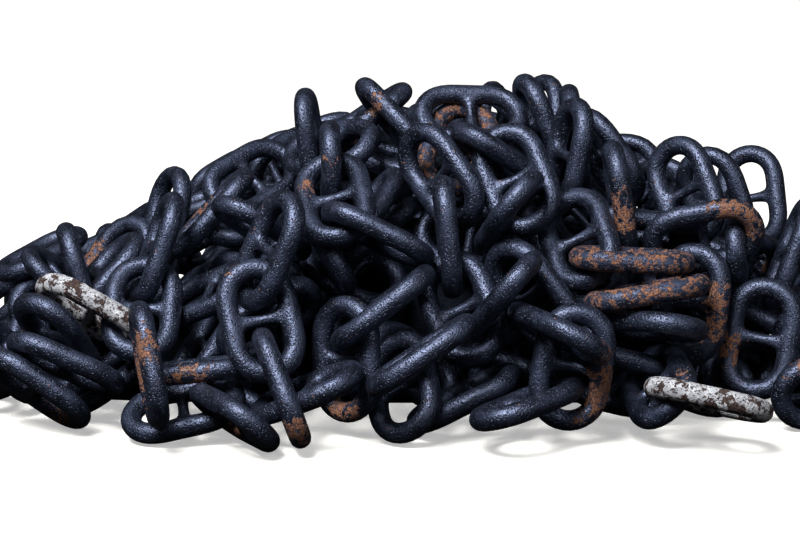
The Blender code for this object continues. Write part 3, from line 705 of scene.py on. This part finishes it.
# Old white paint, chalked and flaking off in chips down to the brown iron
chalkyPaint = dict(
    tarPaint, paint="#8c8885", film="#c4c0bb", pit="#4d4743", rustDark="#171314", rustLight="#4f3a2b",
    cloudSize=0.040, rustSize=0.030, rustFrom=0.510, rustRange=0.02,
    roughness=(0.70, 0.90), coat=0.0, specular=0.3,
)
# Iron deep in the heap, coloured darker than the tar paint as painted shade, so that it reads as black
# between the links
buriedIronPaintedShade = dict(
    tarPaint, paint="#040506", film="#0a0b0e", rustFrom=0.70,
    roughness=(0.70, 0.90), coat=0.0, specular=0.10,
)
# How pits, grain and rust shape any of these finishes
weathering = {
    "grainInFilm": 0.55,
    "pitFrom": 0.16,  # from the middle of a cell, as a share of its size
    "pitTo": 0.40,
    "markLift": 0.24,  # what a full rust mark adds to the rust noise
    "grainRange": (0.32, 0.72),
    "cloudRange": (0.35, 0.65),
    "pitRoughness": 0.30,
    "rustRoughness": 0.88,
    "pitDepth": -0.8,
    "rustRise": 0.5,
    "reliefStrength": 0.9,
    "reliefHeight": 0.0020,
    "coatRoughness": 0.2,
}


def weatheredIron(name, look):
    material = bpy.data.materials.new(name)
    material.use_nodes = True
    tree = material.node_tree
    shader = tree.nodes["Principled BSDF"]
    shader.inputs["Specular IOR Level"].default_value = look["specular"]
    shader.inputs["Specular Tint"].default_value = hexColour(look["shine"])
    shader.inputs["Coat Weight"].default_value = look["coat"]
    shader.inputs["Coat Roughness"].default_value = weathering["coatRoughness"]
    place = addNode(tree, "ShaderNodeTexCoord", {}, {}).outputs["Object"]
    cloud = addNode(tree, "ShaderNodeTexNoise", {}, {
        "Vector": place, "Scale": 1 / look["cloudSize"], "Detail": 6.0, "Roughness": 0.65}).outputs["Fac"]
    grain = addNode(tree, "ShaderNodeTexNoise", {}, {
        "Vector": place, "Scale": 1 / look["grainSize"], "Detail": 2.0, "Roughness": 0.6}).outputs["Fac"]
    cells = addNode(tree, "ShaderNodeTexVoronoi", {}, {
        "Vector": place, "Scale": 1 / look["pitSize"], "Randomness": 1.0}).outputs["Distance"]
    patches = addNode(tree, "ShaderNodeTexNoise", {}, {
        "Vector": place, "Scale": 1 / look["rustSize"], "Detail": 6.0, "Roughness": 0.68}).outputs["Fac"]
    mark = addNode(tree, "ShaderNodeAttribute", {"attribute_name": "rustMark"}, {}).outputs["Fac"]
    # film: clouds broken up by the grain
    film = addNode(tree, "ShaderNodeMath", {"operation": "MULTIPLY_ADD"}, {
        0: grain, 1: weathering["grainInFilm"], 2: cloud}).outputs[0]
    film = addNode(tree, "ShaderNodeMapRange", {}, {
        "Value": film, "From Min": look["filmFrom"],
        "From Max": look["filmFrom"] + look["filmRange"], "To Max": look["filmShare"]}).outputs[0]
    colour = addNode(tree, "ShaderNodeMix", {"data_type": "RGBA"}, {
        0: film, 6: hexColour(look["paint"]), 7: hexColour(look["film"])}).outputs[2]
    # pits: the middles of some of the small cells
    pits = addNode(tree, "ShaderNodeMapRange", {"interpolation_type": "SMOOTHSTEP"}, {
        "Value": cells, "From Min": weathering["pitFrom"], "From Max": weathering["pitTo"],
        "To Min": 1.0, "To Max": 0.0}).outputs[0]
    colour = addNode(tree, "ShaderNodeMix", {"data_type": "RGBA"}, {
        0: pits, 6: colour, 7: hexColour(look["pit"])}).outputs[2]
    # rust: noise lifted where the bar carries a mark
    field = addNode(tree, "ShaderNodeMath", {"operation": "MULTIPLY_ADD"}, {
        0: mark, 1: weathering["markLift"], 2: patches}).outputs[0]
    rust = addNode(tree, "ShaderNodeMapRange", {"interpolation_type": "SMOOTHSTEP"}, {
        "Value": field, "From Min": look["rustFrom"],
        "From Max": look["rustFrom"] + look["rustRange"]}).outputs[0]
    shade = addNode(tree, "ShaderNodeMapRange", {}, {
        "Value": grain, "From Min": weathering["grainRange"][0],
        "From Max": weathering["grainRange"][1]}).outputs[0]
    rusty = addNode(tree, "ShaderNodeMix", {"data_type": "RGBA"}, {
        0: shade, 6: hexColour(look["rustDark"]), 7: hexColour(look["rustLight"])}).outputs[2]
    colour = addNode(tree, "ShaderNodeMix", {"data_type": "RGBA"}, {
        0: rust, 6: colour, 7: rusty}).outputs[2]
    tree.links.new(colour, shader.inputs["Base Color"])
    rough = addNode(tree, "ShaderNodeMapRange", {}, {
        "Value": cloud, "From Min": weathering["cloudRange"][0], "From Max": weathering["cloudRange"][1],
        "To Min": look["roughness"][0], "To Max": look["roughness"][1]}).outputs[0]
    rough = addNode(tree, "ShaderNodeMath", {"operation": "MULTIPLY_ADD"}, {
        0: pits, 1: weathering["pitRoughness"], 2: rough}).outputs[0]
    rough = addNode(tree, "ShaderNodeMix", {"data_type": "FLOAT"}, {
        0: rust, 2: rough, 3: weathering["rustRoughness"]}).outputs[0]
    tree.links.new(rough, shader.inputs["Roughness"])
    # relief: pits sink in, rust and grain stand up
    relief = addNode(tree, "ShaderNodeMath", {"operation": "MULTIPLY_ADD"}, {
        0: pits, 1: weathering["pitDepth"], 2: grain}).outputs[0]
    relief = addNode(tree, "ShaderNodeMath", {"operation": "MULTIPLY_ADD"}, {
        0: rust, 1: weathering["rustRise"], 2: relief}).outputs[0]
    bump = addNode(tree, "ShaderNodeBump", {}, {
        "Height": relief, "Strength": weathering["reliefStrength"],
        "Distance": weathering["reliefHeight"]}).outputs[0]
    tree.links.new(bump, shader.inputs["Normal"])
    tree.links.new(bump, shader.inputs["Coat Normal"])
    return material


# Marks where the picture shows rust: across, above, how far it spreads in metres, how strongly
rustMarks = (
    (-0.77, 0.02, 0.06, 0.9),
    (-0.65, -0.20, 0.05, 0.9),
    (-0.65, -0.27, 0.07, 1.0),
    (-0.50, 0.135, 0.05, 0.8),
    (-0.43, -0.01, 0.02, 0.9),
    (-0.25, -0.42, 0.05, 1.0),
    (-0.52, -0.29, 0.06, 0.9),
    (-0.41, -0.42, 0.05, 1.0),
    (-0.14, -0.365, 0.05, 1.0),
    (-0.23, 0.20, 0.03, 0.9),
    (-0.11, 0.315, 0.04, 0.9),
    (-0.18, 0.25, 0.03, 0.6),
    (-0.06, 0.41, 0.03, 0.8),
    (-0.07, 0.385, 0.03, 0.6),
    (0.55, 0.135, 0.06, 0.9),
    (0.78, -0.08, 0.05, 1.0),
    (0.785, -0.15, 0.05, 0.8),
    (0.83, 0.13, 0.06, 1.0),
    (0.88, 0.10, 0.05, 0.9),
    (0.825, -0.21, 0.05, 0.9),
    (0.53, -0.21, 0.05, 0.9),
    (0.515, -0.30, 0.06, 1.0),
    (0.475, -0.355, 0.05, 0.8),
    (0.91, 0.01, 0.05, 0.9),
    (-0.84, -0.385, 0.06, 0.8),
    (0.70, -0.27, 0.03, 0.8),
    (1.03, -0.24, 0.06, 0.8),
)
markFade = 1.6  # a mark is full near its middle and gone at this many times its spread


def placeLink(name, cage, pose, material):
    mesh = cage.copy()
    mesh.name = name
    for vert in mesh.vertices:
        bulge = noise.noise(vert.co / link["unevenSize"] + pose.translation * link["unevenShift"])
        vert.co += link["unevenness"] * bulge * vert.normal
    moved = Matrix.Translation(heap["shift"]) @ pose
    mesh.transform(moved)
    mesh.attributes.new("rustMark", "FLOAT", "POINT")
    mesh.materials.append(material)
    piece = bpy.data.objects.new(name, mesh)
    bpy.context.scene.collection.objects.link(piece)
    smooth = piece.modifiers.new("rounded", "SUBSURF")
    smooth.levels = 1
    smooth.render_levels = 1
    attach(piece, "root")
    return piece


def markRust(pieces):
    trees = []
    for piece in pieces:
        corners = [v.co for v in piece.data.vertices]
        faces = [tuple(face.vertices) for face in piece.data.polygons]
        trees.append(BVHTree.FromPolygons(corners, faces))
    eye = sight["eye"] + heap["shift"]
    for across, above, spread, strength in rustMarks:
        line = sightLine(across, above)
        hits = [(tree.ray_cast(eye, line)[3], index) for index, tree in enumerate(trees)]
        hits = [(distance, index) for distance, index in hits if distance is not None]
        if not hits:
            print("no link under the rust mark at", across, above)
            continue
        distance, index = min(hits)
        spot = eye + distance * line
        values = pieces[index].data.attributes["rustMark"].data
        for number, vert in enumerate(pieces[index].data.vertices):
            near = max(0.0, 1.0 - (vert.co - spot).length / (markFade * spread))
            values[number].value = max(values[number].value, strength * min(1.0, markFade * near))


# The mass of chain deep in the heap, coloured near black as painted shade, which only shows as black
# between the links
mound = {
    "frontInset": 0.40,
    "backInset": 0.36,
    "endInset": 0.34,
    "stations": 40,
    "arcSteps": 28,
    "lumpSize": 0.16,
    "lumps": 0.05,
    "baseHeight": 0.01,  # what lies lower stays flat on the floor
}


def paintedShadeMound(name, material):
    bm = bmesh.new()
    bmesh.ops.create_grid(bm, x_segments=mound["stations"], y_segments=mound["arcSteps"], size=0.5)
    left, right = heap["leftEnd"] + mound["endInset"], heap["rightEnd"] - mound["endInset"]
    for vert in bm.verts:
        x = left + (right - left) * (1.0 - math.cos(math.pi * (vert.co.x + 0.5))) / 2
        turn = math.pi * min(max(vert.co.y + 0.5, 0.0), 1.0)
        vert.co = surfacePoint(x, turn, insetBetween(turn, mound["frontInset"], mound["backInset"]))
    rim = [edge for edge in bm.edges if edge.is_boundary]
    bmesh.ops.holes_fill(bm, edges=rim, sides=0)
    for vert in bm.verts:
        if vert.co.z > mound["baseHeight"]:
            vert.co *= 1.0 - mound["lumps"] * (0.5 + 0.5 * noise.noise(vert.co / mound["lumpSize"]))
    bmesh.ops.translate(bm, verts=bm.verts, vec=heap["shift"])
    bmesh.ops.recalc_face_normals(bm, faces=bm.faces)
    mesh = bpy.data.meshes.new(name)
    bm.to_mesh(mesh)
    bm.free()
    mesh.shade_smooth()
    mesh.materials.append(material)
    piece = bpy.data.objects.new(name, mesh)
    bpy.context.scene.collection.objects.link(piece)
    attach(piece, "root")
    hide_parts("heap_core")
    return piece


# Poses of every link, each with the way that leads out of the heap; the set ones need none
upright = Vector((0.0, 0.0, 1.0))
nodeNames = sorted(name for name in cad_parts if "_link_" in name)
laid = []
for name in nodeNames:
    pose = solidPose(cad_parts[name])
    pose.translation -= heap["shift"]
    laid.append((pose, upright))
inGaps, gapsLeft = gapPoses(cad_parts["heap_core"])
print("found", len(inGaps), "links joined in gaps, and", len(gapsLeft), "seen ones are left")
laid += [(pose, upright) for pose in joinedPoses() + inGaps]
fixedCount = len(laid)
laid += [seenPose(*row) for row in gapsLeft]
firstLoose = len(laid)
chance = random.Random(innerLinks["seed"])
leftmost = heap["leftEnd"] + innerLinks["endRoom"]
rightmost = heap["rightEnd"] - innerLinks["endRoom"]
layers = (
    ("frontTurns", "frontSpacing", lambda turn: innerLinks["frontInset"]),
    ("frontTurns", "frontSpacing", lambda turn: innerLinks["deepInset"]),
    ("backTurns", "backSpacing", lambda turn: coreInset(turn) + innerLinks["backInset"]),
    ("underTurns", "backSpacing", lambda turn: coreInset(turn) + innerLinks["underInset"]),
)
for rows, spacing, insetAt in layers:
    laid += scatteredPoses(innerLinks[rows], innerLinks[spacing], insetAt, leftmost, rightmost, chance)
poses, outward = zip(*laid)
turns, centres, one, two, lack = easeApart(poses, outward, fixedCount)
gone = crowdedLinks(one, two, lack, fixedCount, len(poses))
print("eased", len(poses) - fixedCount, "links apart and left out", len(gone), "that were crowded")

# The pieces
materials = {
    "tar_paint": weatheredIron("tarPaintOnForgedIron", tarPaint),
    "rusty_paint": weatheredIron("rustedForgedIron", rustyIron),
    "chalky_paint": weatheredIron("chalkedWhitePaint", chalkyPaint),
    # painted shade: the near-black finish of the core that fills the deep gaps between the links
    "buried_iron": weatheredIron("paintedShadeBuriedIron", buriedIronPaintedShade),
}
finishes = {
    "left_link_03": "chalky_paint",
    "right_link_12": "chalky_paint",
    "upper_link_08": "rusty_paint",
    "right_link_04": "rusty_paint",
    "right_link_05": "rusty_paint",
}
fineCage = linkCage("fineCage", 12, 8, 2)
plainCage = linkCage("plainCage", 8, 5, 1)
shown = []
for index, (turn, centre) in enumerate(zip(turns, centres)):
    if index in gone:
        continue
    if index < len(nodeNames):
        node = nodeNames[index]
        slotName = finishes.get(node, "tar_paint")
        piece = placeLink(f"forged_{node}", fineCage, poses[index], materials[slotName])
        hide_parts(node)
        shown.append(piece)
    else:
        pose = poses[index] if index < fixedCount else Matrix(turn.tolist()).to_4x4()
        if index >= fixedCount:
            pose.translation = Vector(centre.tolist())
        fine = fixedCount <= index < firstLoose
        piece = placeLink(f"chain_link_{index:03d}", fineCage if fine else plainCage, pose,
                          materials["tar_paint"])
        shown.append(piece)
print("placed", len(shown), "links")
markRust(shown)
# the core, coloured near black as painted shade for the gaps between the links
paintedShadeMound("buried_chain_painted_shade", materials["buried_iron"])
for cage in (fineCage, plainCage):
    bpy.data.meshes.remove(cage)

# Floor, light and camera
studio = {
    "floorColour": "#fff4e2",
    "floorUnseen": "#1c1b1a",  # how the chain sees it, so that undersides stay dark
    "floorGlow": 0.42,  # evens out the pale backdrop
    "skyColour": "#e4ecfa",
    "skyStrength": 0.05,
    "backdrop": "#f6f6f6",
    "overheadStrength": 2.7,
    "overheadAngle": 20.0,  # degrees across the soft overhead light
    "overheadTurn": (30.0, -20.0, 0.0),
    "keyPower": 560.0,
    "keySize": 2.4,
    "keyAt": (-1.6, -3.4, 4.6),
    "fillPower": 70.0,
    "fillSize": 1.4,
    "fillAt": (2.8, -4.6, 3.0),
    "keyColour": (0.84, 0.90, 1.0),
    "glowColour": "#ffffff",
    "floorSize": 60.0,
    "aim": (0.0, -0.2, 0.35),
}


def softLight(name, place, power, size, colour):
    lamp = bpy.data.lights.new(name, "AREA")
    lamp.energy = power
    lamp.size = size
    lamp.color = colour
    item = bpy.data.objects.new(name, lamp)
    item.location = place
    toward = Vector(studio["aim"]) - Vector(place)
    item.rotation_euler = toward.to_track_quat("-Z", "Y").to_euler()
    bpy.context.scene.collection.objects.link(item)


# Pale to the camera and dark to the chain
def floorMaterial():
    material = bpy.data.materials.new("paleStudioFloor")
    material.use_nodes = True
    tree = material.node_tree
    shader = tree.nodes["Principled BSDF"]
    shader.inputs["Roughness"].default_value = 1.0
    shader.inputs["Specular IOR Level"].default_value = 0.0
    shader.inputs["Emission Color"].default_value = hexColour(studio["glowColour"])
    seen = addNode(tree, "ShaderNodeLightPath", {}, {}).outputs["Is Camera Ray"]
    tint = addNode(tree, "ShaderNodeMix", {"data_type": "RGBA"}, {
        0: seen, 6: hexColour(studio["floorUnseen"]), 7: hexColour(studio["floorColour"])}).outputs[2]
    tree.links.new(tint, shader.inputs["Base Color"])
    glow = addNode(tree, "ShaderNodeMath", {"operation": "MULTIPLY"}, {
        0: seen, 1: studio["floorGlow"]}).outputs[0]
    tree.links.new(glow, shader.inputs["Emission Strength"])
    return material


def studioFloor():
    bm = bmesh.new()
    bmesh.ops.create_grid(bm, x_segments=1, y_segments=1, size=studio["floorSize"])
    mesh = bpy.data.meshes.new("pale_floor")
    bm.to_mesh(mesh)
    bm.free()
    mesh.materials.append(floorMaterial())
    item = bpy.data.objects.new("pale_floor", mesh)
    bpy.context.scene.collection.objects.link(item)


# Lights the chain dimly, and shows the camera a near-white backdrop
def studioSky():
    world = bpy.data.worlds.new("studio_sky")
    world.use_nodes = True
    tree = world.node_tree
    glow = tree.nodes["Background"]
    glow.inputs["Color"].default_value = hexColour(studio["skyColour"])
    glow.inputs["Strength"].default_value = studio["skyStrength"]
    backdrop = addNode(tree, "ShaderNodeBackground", {}, {"Color": hexColour(studio["backdrop"])})
    seen = addNode(tree, "ShaderNodeLightPath", {}, {}).outputs["Is Camera Ray"]
    sky = addNode(tree, "ShaderNodeMixShader", {}, {
        0: seen, 1: glow.outputs[0], 2: backdrop.outputs[0]}).outputs[0]
    tree.links.new(sky, tree.nodes["World Output"].inputs["Surface"])
    return world


studioFloor()
overhead = bpy.data.lights.new("overhead_light", "SUN")
overhead.energy = studio["overheadStrength"]
overhead.angle = math.radians(studio["overheadAngle"])
overhead.color = studio["keyColour"]
overheadItem = bpy.data.objects.new("overhead_light", overhead)
overheadItem.rotation_euler = [math.radians(turn) for turn in studio["overheadTurn"]]
bpy.context.scene.collection.objects.link(overheadItem)
softLight("key_light", studio["keyAt"], studio["keyPower"], studio["keySize"], studio["keyColour"])
softLight("fill_light", studio["fillAt"], studio["fillPower"], studio["fillSize"], studio["keyColour"])
bpy.context.scene.world = studioSky()
bpy.context.scene.view_settings.view_transform = "Standard"

cameraData = bpy.data.cameras.new("picture_camera")
cameraData.lens = sight["lens"]
cameraData.sensor_width = sight["sensor"]
camera = bpy.data.objects.new("picture_camera", cameraData)
camera.location = sight["eye"] + heap["shift"]
camera.rotation_euler = (math.pi / 2 - sight["pitch"], 0.0, 0.0)
bpy.context.scene.collection.objects.link(camera)
bpy.context.scene.camera = camera
print("set the floor, the lights and the camera")
